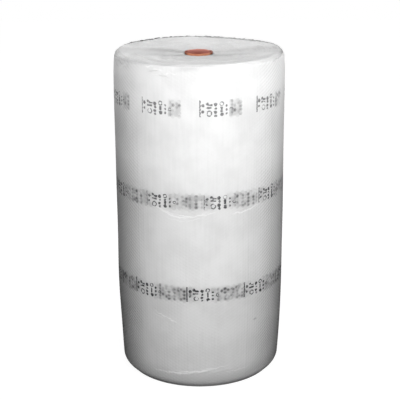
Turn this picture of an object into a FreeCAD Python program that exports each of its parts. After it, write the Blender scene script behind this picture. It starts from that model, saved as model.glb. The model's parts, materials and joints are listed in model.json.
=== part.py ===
"""Roll of bubble film: a cardboard tube with a long web of small-bubble film wound on it.

Two pieces, both standing on the plane z = 0 with the roll's axis on Z:
  core_tube          spiral-wound cardboard tube, open from end to end
  bubble_film_roll   the wound web, one solid, whose turns show as ridges on the upper end

The web is a true spiral, drawn with four centres: each quarter of a turn is a revolution about
an axis of its own, and from one quarter to the next the axis steps back by a quarter of the
pitch while every radius grows by as much. The quarters join smoothly, and the last turn ends
in a tail one web thick, at the back of the roll. The grooves between the turns are wound the
same way, and each ridge between two grooves stands for a few turns that lie level.
"""
import FreeCAD, Part
import math
import os

import Sketcher

# Driving dimensions in millimetres, angles in degrees. Each is a cell of the sheet.
SIZES = {
    "core_bore": (76.0, "inner diameter of the cardboard tube, the usual 3 inch core"),
    "core_wall": (4.0, "wall of the cardboard tube"),
    "core_recess": (6.0, "how far the tube's upper end stays below the rim"),
    "web_width": (1000.0, "width of the film web, which is the roll's height at its rim"),
    "turn_pitch": (4.76, "thickness of one wound turn, the usual 3/16 inch bubble"),
    "turn_count": (46, "turns from the tube to the tail"),
    "turns_per_ridge": (2, "turns that lie level and make one ridge on the upper end"),
    "groove_depth": (3.0, "depth of the grooves between the ridges"),
    "dish_depth": (13.0, "how far the upper end falls from the rim to the tube"),
    "tail_angle": (90.0, "direction of the web's outer end, from X towards Y"),
    "shoulder_radius": (17.0, "rounding of the upper rim beside the wall"),
    "crown_radius": (18.0, "rounding of the upper rim beside the end"),
    "upper_draw_in": (3.0, "how much the radius shrinks up to the upper rim"),
    "upper_draw_length": (90.0, "distance from the top over which it shrinks"),
    "foot_radius": (28.0, "rounding of the lower rim"),
    "foot_bevel": (12.0, "height of the slope below that rounding, where the roll is squashed"),
    "lower_draw_in": (10.0, "how much the radius shrinks down to the lower rim"),
    "lower_draw_length": (345.0, "distance from the foot over which it shrinks"),
}
QUARTERS = 4  # quarters in a turn, each with a centre of its own
QUARTER_ANGLE = 360 / QUARTERS
ROUNDING = math.radians(45)  # how far either rim is rounded before it flattens
Z_AXIS = FreeCAD.Vector(0, 0, 1)

doc = FreeCAD.newDocument("bubble_film_roll")


def make_sheet():
    """Puts each driving dimension in a cell of its own, under its own alias."""
    sheet = doc.addObject("Spreadsheet::Sheet", "sizes")
    for row, (alias, (value, meaning)) in enumerate(SIZES.items(), start=1):
        sheet.set(f"A{row}", meaning)
        sheet.set(f"B{row}", str(value))
        sheet.setAlias(f"B{row}", alias)
    doc.recompute()
    return sheet


def make_core_tube():
    """The cardboard tube: two concentric circles padded to just below the rim."""
    body = doc.addObject("PartDesign::Body", "core_tube")
    ground = next(item for item in body.Origin.OriginFeatures if item.Role == "XY_Plane")
    sketch = body.newObject("Sketcher::SketchObject", "tube_section")
    sketch.AttachmentSupport = [(ground, "")]
    sketch.MapMode = "FlatFace"
    for name, formula in (
        ("bore_radius", "sizes.core_bore / 2"),
        ("outer_radius", "sizes.core_bore / 2 + sizes.core_wall"),
    ):
        circle = sketch.addGeometry(Part.Circle(FreeCAD.Vector(), Z_AXIS, 1.0), False)
        sketch.addConstraint(Sketcher.Constraint("Coincident", circle, 3, -1, 1))
        constraint = sketch.addConstraint(Sketcher.Constraint("Radius", circle, 1.0))
        sketch.renameConstraint(constraint, name)
        sketch.setExpression(f"Constraints.{name}", formula)
    pad = body.newObject("PartDesign::Pad", "tube_wall")
    pad.Profile = sketch
    pad.setExpression("Length", "sizes.web_width - sizes.core_recess")
    body.Tip = pad
    return body


def section_point(radius, height):
    """A point of a half section, which lies in the XZ plane."""
    return FreeCAD.Vector(radius, 0, height)


def closed_face(edges, corners):
    """The face inside the given edges and the straight lines from corner to corner."""
    lines = [Part.LineSegment(a, b).toShape() for a, b in zip(corners, corners[1:])]
    return Part.Face(Part.Wire(Part.__sortEdges__(edges + lines)))


def arc(centre, radius, start, end):
    """An arc about a centre, between two angles in radians from the X axis towards Z."""

    def place(angle):
        return centre + section_point(math.cos(angle), math.sin(angle)) * radius

    return Part.Arc(place(start), place((start + end) / 2), place(end)).toShape()


def wall_arc(wall, level, radius, sweep):
    """An arc that leaves the upright wall at a level without a kink and bends inwards.

    sweep is its angle in radians, upwards, or downwards where it is negative.
    """
    return arc(section_point(wall - radius, level), radius, 0, sweep)


def draw_in_arc(wall, level, depth, rise):
    """The wall arc that moves in by depth while it rises, or falls, by rise."""
    radius = (depth**2 + rise**2) / (2 * depth)
    return wall_arc(wall, level, radius, math.asin(rise / radius))


def core_radius(sheet):
    """Radius on which the web is wound: the outside of the tube."""
    return sheet.core_bore / 2 + sheet.core_wall


def outer_radius(sheet):
    """Radius of the roll where its last turn ends."""
    return core_radius(sheet) + sheet.turn_pitch * sheet.turn_count


def ridge_pitch(sheet):
    """Distance along the radius from one ridge to the next."""
    return sheet.turn_pitch * sheet.turns_per_ridge


def shoulder_size(sheet):
    """How far the rounded upper rim reaches in along the radius, and down from the top."""
    turned = math.cos(ROUNDING), math.sin(ROUNDING)
    reach = sheet.shoulder_radius * (1 - turned[0]) + sheet.crown_radius * turned[0]
    drop = sheet.shoulder_radius * turned[1] + sheet.crown_radius * (1 - turned[1])
    return reach, drop


def ridged_radius(sheet):
    """Radius up to which the upper end is ridged: inside the shoulder of the smallest quarter."""
    reach, _ = shoulder_size(sheet)
    return outer_radius(sheet) - sheet.turn_pitch - sheet.upper_draw_in - reach


def web_section(sheet, outer):
    """The half section of one quarter of the wound web, as a face in the XZ plane.

    outer is the radius of the outermost turn about the quarter's own axis. The outline starts at
    the foot and runs up the outside, over the shoulder and back down inside the tube.
    """
    top, bevel = sheet.web_width, sheet.foot_bevel
    reach, drop = shoulder_size(sheet)
    inner = core_radius(sheet) / 2
    lower_rim = outer - sheet.lower_draw_in
    upper_rim = outer - sheet.upper_draw_in
    wall_low = section_point(outer, sheet.lower_draw_length)
    wall_high = section_point(outer, top - sheet.upper_draw_length)
    foot_top = bevel + sheet.foot_radius * math.sin(ROUNDING)
    foot = wall_arc(lower_rim, foot_top, sheet.foot_radius, -ROUNDING)
    crown_centre = section_point(upper_rim - reach, top - sheet.crown_radius)
    outside = [
        foot,
        draw_in_arc(outer, wall_low.z, sheet.lower_draw_in, foot_top - wall_low.z),
        Part.LineSegment(wall_low, wall_high).toShape(),
        draw_in_arc(outer, wall_high.z, sheet.upper_draw_in, top - drop - wall_high.z),
        wall_arc(upper_rim, top - drop, sheet.shoulder_radius, ROUNDING),
        arc(crown_centre, sheet.crown_radius, ROUNDING, math.pi / 2),
    ]
    foot_end = foot.valueAt(foot.LastParameter)
    corners = [
        section_point(crown_centre.x, top),
        section_point(inner, top),
        section_point(inner, 0),
        section_point(foot_end.x - bevel / math.tan(ROUNDING), 0),
        foot_end,
    ]
    return closed_face(outside, corners)


def groove_section(sheet, outer):
    """The half section of one quarter of what is cut from the upper end, as in web_section.

    Its lower edge is a zigzag: crests on the shallow dish and a groove between two crests. outer
    is the radius of the outermost crest about the quarter's own axis.
    """
    pitch, depth, top = ridge_pitch(sheet), sheet.groove_depth, sheet.web_width
    slope = sheet.dish_depth / (ridged_radius(sheet) - core_radius(sheet))
    zigzag = []
    distance = 0
    while outer - distance > core_radius(sheet) - pitch:
        zigzag.append(section_point(outer - distance, top - slope * distance))
        distance += pitch / 2
        zigzag.append(section_point(outer - distance, top - slope * distance - depth))
        distance += pitch / 2
    above = [section_point(zigzag[-1].x, top + depth), section_point(outer, top + depth)]
    return closed_face([], zigzag + above + zigzag[:1])


def wind(name, section, outer, pitch, start):
    """A spiral of four quarters, as a feature of its own.

    section gives the half section for the outermost radius of a quarter. outer is that radius
    where the last turn ends, and start is the direction in which it ends.
    """
    step = pitch / QUARTERS
    centre = FreeCAD.Vector()
    centres, quarters = [], []
    for quarter in range(QUARTERS):
        turned = start + quarter * QUARTER_ANGLE
        radius = outer - pitch + quarter * step
        solid = section(radius).revolve(FreeCAD.Vector(), Z_AXIS, QUARTER_ANGLE)
        solid.Placement = FreeCAD.Placement(centre, FreeCAD.Rotation(Z_AXIS, turned))
        quarters.append(solid)
        centres.append(centre)
        end = math.radians(turned + QUARTER_ANGLE)
        centre = centre - FreeCAD.Vector(math.cos(end), math.sin(end), 0) * step
    spiral = quarters[0].fuse(quarters[1:]).removeSplitter()
    spiral.translate(sum(centres, FreeCAD.Vector()) * (-1 / QUARTERS))
    feature = doc.addObject("Part::Feature", name)
    feature.Shape = spiral
    return feature


def cut(name, base, tool):
    """A feature that takes the tool away from the base."""
    feature = doc.addObject("Part::Cut", name)
    feature.Base = base
    feature.Tool = tool
    return feature


def make_film_roll(sheet):
    """The wound web, grooved between its turns and bored to sit on the tube."""

    def web_at(radius):
        return web_section(sheet, radius)

    def grooves_at(radius):
        return groove_section(sheet, radius)

    web = wind("web", web_at, outer_radius(sheet), sheet.turn_pitch, sheet.tail_angle)
    grooves = wind("grooves", grooves_at, ridged_radius(sheet), ridge_pitch(sheet), sheet.tail_angle)
    bore = doc.addObject("Part::Cylinder", "bore")
    bore.setExpression("Radius", "sizes.core_bore / 2 + sizes.core_wall")
    bore.setExpression("Height", "sizes.web_width + 2 * sizes.core_wall")
    bore.setExpression("Placement.Base.z", "-sizes.core_wall")
    return cut("bubble_film_roll", cut("grooved_web", web, grooves), bore)


def check(parts):
    """Stops if an object of the document failed or a piece isn't one valid solid."""
    for item in doc.Objects:
        if {"Invalid", "Error"} & set(item.State):
            raise RuntimeError(f"{item.Name} failed: {item.State}")
    for part in parts:
        shape = part.Shape
        if shape.isNull() or not shape.isValid() or len(shape.Solids) != 1:
            raise RuntimeError(f"{part.Label} isn't one valid solid")
        print(f"{part.Label}: {shape.Volume / 1e6:.3f} litres, {len(shape.Faces)} faces")


def main():
    """Builds the document and writes each piece to its own file."""
    sheet = make_sheet()
    parts = [make_core_tube(), make_film_roll(sheet)]
    doc.recompute()
    check(parts)
    os.makedirs("parts", exist_ok=True)
    for part in parts:
        part.Shape.exportStep(f"parts/{part.Label}.step")


main()
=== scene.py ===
"""Roll of bubble film standing on its end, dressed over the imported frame.

The film's two coordinates are used everywhere: run, the length along the web round the roll, and
rise, the length up the wall from the floor over the foot, the wall and the shoulder. A turn is a
fraction from 0 to 1 of the outermost turn, counted anticlockwise from the web's tail at the back.
A bearing is a direction in degrees from the front, positive to the right. Lengths are in metres,
and in millimetres where a name ends in _mm and in every pattern on the film.
"""
import json
import logging
import math
from dataclasses import dataclass, field
from enum import Enum

import bpy
import numpy as np
from mathutils import Matrix, Vector

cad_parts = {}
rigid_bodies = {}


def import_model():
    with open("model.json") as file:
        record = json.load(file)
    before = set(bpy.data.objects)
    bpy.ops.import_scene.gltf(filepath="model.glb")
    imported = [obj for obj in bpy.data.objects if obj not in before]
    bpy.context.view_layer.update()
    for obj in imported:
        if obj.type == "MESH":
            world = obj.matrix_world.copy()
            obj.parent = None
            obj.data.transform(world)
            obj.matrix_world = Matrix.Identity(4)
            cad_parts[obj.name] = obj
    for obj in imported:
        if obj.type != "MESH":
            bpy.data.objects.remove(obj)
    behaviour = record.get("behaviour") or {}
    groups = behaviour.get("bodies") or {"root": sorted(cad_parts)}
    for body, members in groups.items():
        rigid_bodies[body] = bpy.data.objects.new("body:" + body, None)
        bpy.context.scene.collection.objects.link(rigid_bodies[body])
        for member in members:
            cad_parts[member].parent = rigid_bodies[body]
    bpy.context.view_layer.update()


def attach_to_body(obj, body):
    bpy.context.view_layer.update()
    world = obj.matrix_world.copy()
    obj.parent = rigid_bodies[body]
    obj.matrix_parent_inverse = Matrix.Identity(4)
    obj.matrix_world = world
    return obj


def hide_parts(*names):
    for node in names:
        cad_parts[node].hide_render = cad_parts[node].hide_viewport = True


LOG = logging.getLogger("bubble_film_roll")
BODY = "root"
UV_SCALE = 0.5  # a UV unit is two metres of film, so the whole web lies between 0 and 1
PLY_WIDTH_MM = 92.0  # from one seam of the cardboard tube's outer ply to the next


class Mark(Enum):
    """The plain shapes of the printed band."""

    RING = "ring"
    DISC = "disc"
    BAR = "bar"


class Surface(Enum):
    """Which part of the roll's ends a finish is for."""

    CUT_EDGE = "cut_edge"
    # The depth between the turns, painted greyer as shade.
    DEPTH = "depth"


def grey(level: float) -> tuple[float, float, float, float]:
    """A neutral colour."""
    return (level, level, level, 1.0)


def smooth_step(values: np.ndarray, low: float, high: float) -> np.ndarray:
    """Rises smoothly from 0 at low to 1 at high: t squared times (3 - 2t).

    Args:
        values: Where to read it.
        low: Where it leaves 0.
        high: Where it reaches 1.

    Returns:
        An array as large as values.
    """
    t = np.clip((values - low) / (high - low), 0.0, 1.0)
    return t * t * (3.0 - 2.0 * t)


def mesh_piece(
    name: str,
    points: np.ndarray,
    faces: np.ndarray,
    material: bpy.types.Material,
    uv: np.ndarray | None = None,
) -> bpy.types.Object:
    """Makes an object at the origin from whole arrays.

    Args:
        name: The object's name.
        points: One row of three coordinates for each vertex.
        faces: One row of vertex numbers for each face, all with the same count.
        material: Its finish.
        uv: Film coordinates (run, rise) of each vertex, in metres.

    Returns:
        The new object, smooth shaded.
    """
    mesh = bpy.data.meshes.new(name)
    count, sides = faces.shape
    mesh.vertices.add(len(points))
    mesh.vertices.foreach_set("co", np.ascontiguousarray(points, dtype=np.float32).ravel())
    mesh.loops.add(count * sides)
    mesh.loops.foreach_set("vertex_index", faces.astype(np.int32).ravel())
    mesh.polygons.add(count)
    mesh.polygons.foreach_set("loop_start", np.arange(0, count * sides, sides, dtype=np.int32))
    mesh.polygons.foreach_set("loop_total", np.full(count, sides, dtype=np.int32))
    mesh.update(calc_edges=True)
    mesh.validate()
    mesh.polygons.foreach_set("use_smooth", np.ones(len(mesh.polygons), dtype=bool))
    if uv is not None:
        layer = mesh.uv_layers.new(name="film")
        layer.data.foreach_set("uv", (uv[faces.ravel()] * UV_SCALE).astype(np.float32).ravel())
    mesh.materials.append(material)
    piece = bpy.data.objects.new(name, mesh)
    bpy.context.scene.collection.objects.link(piece)
    return piece


def grid_faces(rows: int, columns: int, closed: bool = False) -> np.ndarray:
    """Quads of a grid whose vertices are numbered along its columns, row by row.

    Args:
        rows: Vertices up the grid.
        columns: Vertices across the grid.
        closed: Whether the last column joins the first.

    Returns:
        One row of four vertex numbers for each quad.
    """
    across = np.arange(columns if closed else columns - 1)
    up = np.arange(rows - 1)[:, None]
    after = (across + 1) % columns
    low, high = up * columns, (up + 1) * columns
    quads = np.stack(np.broadcast_arrays(low + across, low + after, high + after, high + across), -1)
    return quads.reshape(-1, 4)


def grid(first: np.ndarray, second: np.ndarray) -> tuple[np.ndarray, np.ndarray]:
    """Every pair of two sets of numbers, as two flat arrays in the order of grid_faces."""
    across, up = np.meshgrid(first, second)
    return across.ravel(), up.ravel()


def turned_points(radius: np.ndarray, angle: np.ndarray, height: np.ndarray) -> np.ndarray:
    """Places round the axis: (radius times cosine, radius times sine, height)."""
    return np.stack([radius * np.cos(angle), radius * np.sin(angle), height], -1)


@dataclass(frozen=True)
class RollForm:
    """Outer form of the wound web, as the solids have it, and the heights of its upper end.

    rim_heights_mm are (bearing, height) pairs of what the rim stands above or below the solids'.
    tube_swell is how much higher the film stands beside the tube, between swell_reach's radii.
    """

    height: float = 1.0
    start_radius: float = 0.25561
    turn_pitch: float = 0.00476
    core_radius: float = 0.042
    shoulder_radius: float = 0.017
    crown_radius: float = 0.018
    dish_depth: float = 0.013
    upper_draw_in: float = 0.003
    upper_draw_length: float = 0.090
    foot_radius: float = 0.028
    foot_bevel: float = 0.012
    lower_draw_in: float = 0.010
    lower_draw_length: float = 0.345
    mean_radius: float = 0.258
    tube_swell: float = 0.0013
    swell_reach: tuple = (0.045, 0.07)
    rim_reach: tuple = (0.10, 0.25)
    rim_heights_mm: tuple = (
        (-180, 0.9), (-172, 1.3), (-158, 2.1), (-148, 2.2), (-139, 0.7), (-130, 0.9), (-121, 2.3),
        (-100, 1.2), (-80, 0.0), (80, 0.0), (96, 0.8), (108, 1.6), (118, 0.6), (128, -0.6),
        (144, -2.6), (160, -2.4), (174, -0.4), (180, -0.2),
    )

    def angle(self, turn: np.ndarray) -> np.ndarray:
        """Direction from X towards Y, in radians, of a place on the outermost turn."""
        return 2 * math.pi * np.asarray(turn) + math.pi / 2

    def bearing(self, turn: np.ndarray) -> np.ndarray:
        """Degrees from the front, positive to the right, from -180 to 180."""
        return (360.0 * np.asarray(turn)) % 360.0 - 180.0

    def wall_radius(self, turn: np.ndarray) -> np.ndarray:
        """Radius of the outermost turn: it grows evenly by one pitch in a turn."""
        return self.start_radius + self.turn_pitch * np.asarray(turn)

    @property
    def shoulder_reach(self) -> float:
        """How far the rounded rim reaches in along the radius."""
        turned = math.cos(math.pi / 4)
        return self.shoulder_radius * (1 - turned) + self.crown_radius * turned

    @property
    def shoulder_drop(self) -> float:
        """How far the rounded rim reaches down from the top."""
        turned = math.sin(math.pi / 4)
        return self.shoulder_radius * turned + self.crown_radius * (1 - turned)

    def profile(self) -> tuple[np.ndarray, np.ndarray]:
        """The wall's outline from the floor to the middle of the shoulder.

        A slope and an arc of 45 degrees make the foot. Above it the radius grows as a flat arc,
        stays, shrinks as a flat arc, and turns inwards on an arc of 45 degrees.

        Returns:
            How far the outline lies inside the wall radius, and its heights, as two arrays.
        """
        turned = np.linspace(0, math.pi / 4, 14)
        foot_top = self.foot_bevel + self.foot_radius * math.sin(math.pi / 4)
        shoulder_low = self.height - self.shoulder_drop
        wall = np.arange(foot_top, shoulder_low, 0.004)
        below = np.clip(self.lower_draw_length - wall, 0, None)
        above = np.clip(wall - (self.height - self.upper_draw_length), 0, None)
        low_length = self.lower_draw_length - foot_top
        high_length = shoulder_low - (self.height - self.upper_draw_length)
        low_arc = (self.lower_draw_in**2 + low_length**2) / (2 * self.lower_draw_in)
        high_arc = (self.upper_draw_in**2 + high_length**2) / (2 * self.upper_draw_in)
        wall_inset = low_arc - np.sqrt(low_arc**2 - below**2)
        wall_inset += high_arc - np.sqrt(high_arc**2 - above**2)
        foot_inset = self.lower_draw_in + self.foot_radius * (1 - np.cos(turned))
        foot_height = foot_top - self.foot_radius * np.sin(turned)
        top_inset = self.upper_draw_in + self.shoulder_radius * (1 - np.cos(turned))
        top_height = shoulder_low + self.shoulder_radius * np.sin(turned)
        inset = np.concatenate(
            [[foot_inset[-1] + self.foot_bevel], foot_inset[:0:-1], wall_inset, top_inset]
        )
        height = np.concatenate([[0.0], foot_height[:0:-1], wall, top_height])
        return inset, height

    def outline(self, rise: np.ndarray) -> tuple[np.ndarray, np.ndarray, np.ndarray, np.ndarray]:
        """The wall's outline by its own length.

        Args:
            rise: Lengths up the wall from the floor.

        Returns:
            Inset, height, and the outward normal's parts along the radius and upwards.
        """
        inset, height = self.profile()
        length = np.concatenate([[0.0], np.cumsum(np.hypot(np.diff(inset), np.diff(height)))])
        slope_in = np.gradient(inset, length)
        slope_up = np.gradient(height, length)
        size = np.hypot(slope_in, slope_up)
        read = [np.interp(rise, length, values) for values in (inset, height)]
        read += [np.interp(rise, length, slope_up / size), np.interp(rise, length, slope_in / size)]
        return tuple(read)

    def wall_length(self) -> float:
        """Length up the wall from the floor to the middle of the shoulder."""
        inset, height = self.profile()
        return float(np.hypot(np.diff(inset), np.diff(height)).sum())

    def wall_point(self, turn: np.ndarray, rise: np.ndarray, lift: np.ndarray) -> np.ndarray:
        """Places on the outermost turn: the spiral's radius less the outline's inset, moved out.

        Args:
            turn: Fraction of the turn.
            rise: Length up the wall.
            lift: Distance along the outward normal.

        Returns:
            Three coordinates for each place.
        """
        inset, height, out, up = self.outline(rise)
        radius = self.wall_radius(turn) - inset + lift * out
        return turned_points(radius, self.angle(turn), height + lift * up)

    def end_height(self, radius: np.ndarray, turn: np.ndarray) -> np.ndarray:
        """Height of the upper end: shoulder arc, crown arc, then an even fall to the tube.

        Args:
            radius: Distance from the axis.
            turn: Fraction of the turn, for the spiral wall that the arcs start from.

        Returns:
            Heights of the surface through the film's cut edges.
        """
        depth = self.wall_radius(turn) - self.upper_draw_in - radius
        side = np.clip(self.shoulder_radius - depth, 0, self.shoulder_radius)
        shoulder = self.height - self.shoulder_drop + np.sqrt(self.shoulder_radius**2 - side**2)
        inward = np.clip(self.shoulder_reach - depth, 0, self.crown_radius)
        crown = self.height - self.crown_radius + np.sqrt(self.crown_radius**2 - inward**2)
        flat = self.wall_radius(turn) - self.upper_draw_in - self.shoulder_reach
        slope = self.dish_depth / (flat - self.core_radius)
        dish = self.height - slope * (depth - self.shoulder_reach)
        near, far = self.swell_reach
        dish = dish + self.tube_swell * smooth_step(-radius, -far, -near)
        turning = self.shoulder_radius * (1 - math.cos(math.pi / 4))
        height = np.where(depth < turning, shoulder, np.where(depth < self.shoulder_reach, crown, dish))
        return height + self.rim_lift(radius, turn)

    def rim_lift(self, radius: np.ndarray, turn: np.ndarray) -> np.ndarray:
        """Uneven rim: it stands higher at the back left than at the back right.

        Heights at a few bearings are joined smoothly and fade out towards the tube.

        Args:
            radius: Distance from the axis.
            turn: Fraction of the turn.

        Returns:
            What is added to the end's height.
        """
        bearings, lifts = np.array(self.rim_heights_mm).T
        lift = np.interp(self.bearing(turn), bearings, lifts) / 1000
        return lift * smooth_step(radius, *self.rim_reach)


class Graph:
    """Adds nodes to one tree and joins them. Each value may be a socket or a plain number."""

    def __init__(self, tree: bpy.types.NodeTree) -> None:
        """Keeps the tree that it works on."""
        self.tree = tree

    def node(self, kind: str, **settings: object) -> bpy.types.Node:
        """Adds a node.

        Args:
            kind: Its type name.
            **settings: Its properties.

        Returns:
            The node.
        """
        node = self.tree.nodes.new(kind)
        for name, value in settings.items():
            setattr(node, name, value)
        return node

    def put(self, socket: bpy.types.NodeSocket, value: object) -> None:
        """Joins a socket to the input, or sets the plain value on it.

        Args:
            socket: The input.
            value: A socket, a number or a tuple.
        """
        if isinstance(value, bpy.types.NodeSocket):
            self.tree.links.new(value, socket)
        else:
            socket.default_value = value

    def math(self, operation: str, *values: object, clamp: bool = False) -> bpy.types.NodeSocket:
        """A Math node.

        Args:
            operation: What it works out.
            *values: One to three values.
            clamp: Whether the result stays between 0 and 1.

        Returns:
            The result's socket.
        """
        node = self.node("ShaderNodeMath", operation=operation, use_clamp=clamp)
        for socket, value in zip(node.inputs, values):
            self.put(socket, value)
        return node.outputs[0]

    def vector(self, operation: str, *values: object) -> bpy.types.NodeSocket:
        """A Vector Math node.

        Args:
            operation: What it works out.
            *values: One or two vectors.

        Returns:
            The socket of its vector, or of its number where it gives a length or a distance.
        """
        node = self.node("ShaderNodeVectorMath", operation=operation)
        for socket, value in zip(node.inputs, values):
            self.put(socket, value)
        return node.outputs["Value" if operation in ("LENGTH", "DISTANCE") else "Vector"]

    def combine(self, x: object, y: object, z: object = 0.0) -> bpy.types.NodeSocket:
        """A vector from its three parts.

        Args:
            x: Its first part.
            y: Its second part.
            z: Its third part.

        Returns:
            The vector's socket.
        """
        node = self.node("ShaderNodeCombineXYZ")
        for socket, value in zip(node.inputs, (x, y, z)):
            self.put(socket, value)
        return node.outputs[0]

    def parts(self, vector: bpy.types.NodeSocket) -> list[bpy.types.NodeSocket]:
        """The three parts of a vector.

        Args:
            vector: The vector's socket.

        Returns:
            Three sockets.
        """
        node = self.node("ShaderNodeSeparateXYZ")
        self.put(node.inputs[0], vector)
        return list(node.outputs)

    def ease(
        self, value: object, low: object, high: object, start: object = 0.0, end: object = 1.0
    ) -> bpy.types.NodeSocket:
        """Goes smoothly from start to end while the value goes from low to high.

        Args:
            value: What is read.
            low: Where it begins.
            high: Where it is over.
            start: The result before low.
            end: The result past high.

        Returns:
            The result's socket.
        """
        node = self.node("ShaderNodeMapRange", interpolation_type="SMOOTHSTEP")
        for socket, number in zip(node.inputs, (value, low, high, start, end)):
            self.put(socket, number)
        return node.outputs[0]

    def noise(
        self, place: bpy.types.NodeSocket, scale: float, detail: float = 3.0, rough: float = 0.5
    ) -> bpy.types.NodeSocket:
        """Values of a noise, about 0.5 on average.

        Args:
            place: Where it is read.
            scale: How many of its lumps lie in a unit of place.
            detail: How many finer layers it has.
            rough: How strong they are.

        Returns:
            The value's socket.
        """
        node = self.node("ShaderNodeTexNoise")
        self.put(node.inputs["Vector"], place)
        for name, number in (("Scale", scale), ("Detail", detail), ("Roughness", rough)):
            node.inputs[name].default_value = number
        return node.outputs[0]

    def stretched(self, place: bpy.types.NodeSocket, scale: tuple) -> bpy.types.NodeSocket:
        """A place with each of its parts multiplied."""
        return self.vector("MULTIPLY", place, scale)

    def mix(self, kind: str, factor: object, first: object, second: object) -> bpy.types.NodeSocket:
        """A value between two values.

        Args:
            kind: RGBA for colours or VECTOR for vectors.
            factor: 0 gives the first and 1 the second.
            first: The first value.
            second: The second value.

        Returns:
            The result's socket.
        """
        node = self.node("ShaderNodeMix", data_type=kind)
        pair = {"RGBA": (6, 7), "VECTOR": (4, 5)}[kind]
        for index, value in zip((0, *pair), (factor, first, second)):
            self.put(node.inputs[index], value)
        return node.outputs[{"RGBA": 2, "VECTOR": 1}[kind]]

    def blend(self, factor: object, first: object, second: object) -> bpy.types.NodeSocket:
        """A colour between two colours."""
        return self.mix("RGBA", factor, first, second)

    def bump(self, height: object, strength: float, distance: float) -> bpy.types.NodeSocket:
        """A normal bent by a height.

        Args:
            height: The height.
            strength: How much of it counts.
            distance: What a height of 1 stands for.

        Returns:
            The normal's socket.
        """
        node = self.node("ShaderNodeBump")
        node.inputs["Strength"].default_value = strength
        node.inputs["Distance"].default_value = distance
        self.put(node.inputs["Height"], height)
        return node.outputs[0]

    def group(self, tree: bpy.types.NodeTree, **values: object) -> bpy.types.Node:
        """Places a node group.

        Args:
            tree: The group.
            **values: Its inputs by name.

        Returns:
            The group node.
        """
        node = self.node("ShaderNodeGroup")
        node.node_tree = tree
        for name, value in values.items():
            self.put(node.inputs[name], value)
        return node


def empty_graph(owner: bpy.types.Material | bpy.types.World) -> Graph:
    """Empties the node tree of a material or world.

    Args:
        owner: The material or world.

    Returns:
        A graph on the empty tree.
    """
    owner.use_nodes = True
    owner.node_tree.nodes.clear()
    return Graph(owner.node_tree)


def new_finish(name: str, specular: float) -> tuple[bpy.types.Material, Graph, bpy.types.Node]:
    """Makes a material of one Principled shader.

    Args:
        name: The material's name.
        specular: Its specular level.

    Returns:
        The material, its graph and the shader's node.
    """
    material = bpy.data.materials.new(name)
    graph = empty_graph(material)
    surface = graph.node("ShaderNodeBsdfPrincipled")
    out = graph.node("ShaderNodeOutputMaterial")
    graph.put(out.inputs["Surface"], surface.outputs[0])
    surface.inputs["Specular IOR Level"].default_value = specular
    return material, graph, surface


def new_group(name: str, inputs: dict[str, float | None], outputs: dict[str, str]) -> tuple:
    """Starts a shader node group.

    Args:
        name: The group's name.
        inputs: Each input's name with its number, or None for a vector.
        outputs: Each output's name with the short name of its socket type.

    Returns:
        The group, its Graph, its input node and its output node.
    """
    tree = bpy.data.node_groups.new(name, "ShaderNodeTree")
    for label, number in inputs.items():
        kind = "NodeSocketVector" if number is None else "NodeSocketFloat"
        socket = tree.interface.new_socket(name=label, in_out="INPUT", socket_type=kind)
        if number is not None:
            socket.default_value = number
    for label, kind in outputs.items():
        tree.interface.new_socket(name=label, in_out="OUTPUT", socket_type="NodeSocket" + kind)
    graph = Graph(tree)
    return tree, graph, graph.node("NodeGroupInput"), graph.node("NodeGroupOutput")


@dataclass(frozen=True)
class BubbleLattice:
    """The film's bubbles: columns up the web, every second one moved up by half a bubble."""

    columns: int = 172
    mean_radius: float = 0.258
    pitch_mm: float = 10.9
    radius_mm: float = 4.75
    weld_mm: float = 0.7

    @property
    def column_mm(self) -> float:
        """Distance from one column to the next, along the run."""
        return 2000 * math.pi * self.mean_radius / self.columns

    def make_group(self) -> bpy.types.NodeTree:
        """The bubbles as masks: distance to the nearest centre of two staggered lattices.

        Returns:
            A group that takes the place on the film in millimetres and puts out Dome, 1 in the
            middle of a bubble and 0 at its weld, Rim, 1 on the weld, Own, a number of the
            bubble's own, and Away, the offset from its centre in millimetres.
        """
        outputs = {"Dome": "Float", "Rim": "Float", "Own": "Float", "Away": "Vector"}
        tree, graph, start, end = new_group("bubble_lattice", {"Place": None}, outputs)
        size = (2 * self.column_mm, self.pitch_mm, 1.0)
        distances, cells, offsets = [], [], []
        for shift in ((0.0, 0.0, 0.0), (self.column_mm, self.pitch_mm / 2, 0.0)):
            scaled = graph.vector("DIVIDE", graph.vector("SUBTRACT", start.outputs[0], shift), size)
            cell = graph.vector("FLOOR", graph.vector("ADD", scaled, (0.5, 0.5, 0.0)))
            local = graph.vector("SUBTRACT", scaled, cell)
            local = graph.vector("MULTIPLY", local, (size[0], size[1], 0.0))
            offsets.append(local)
            distances.append(graph.vector("LENGTH", local))
            # The second lattice draws its bubbles' own numbers from other cells than the first.
            cells.append(graph.vector("ADD", cell, (shift[0] * 3.1, shift[1] * 1.7, 0.0)))
        nearest = graph.math("MINIMUM", *distances)
        second = graph.math("LESS_THAN", distances[1], distances[0])
        cell, away = (graph.mix("VECTOR", second, *pair) for pair in (cells, offsets))
        own = graph.node("ShaderNodeTexWhiteNoise", noise_dimensions="2D")
        graph.put(own.inputs["Vector"], cell)
        dome = graph.ease(nearest, 0.0, self.radius_mm, 1.0, 0.0)
        off_weld = graph.math("ABSOLUTE", graph.math("SUBTRACT", nearest, self.radius_mm))
        rim = graph.ease(off_weld, 0.0, self.weld_mm, 1.0, 0.0)
        for label, value in (("Dome", dome), ("Rim", rim), ("Own", own.outputs[0]), ("Away", away)):
            graph.put(end.inputs[label], value)
        return tree


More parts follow.
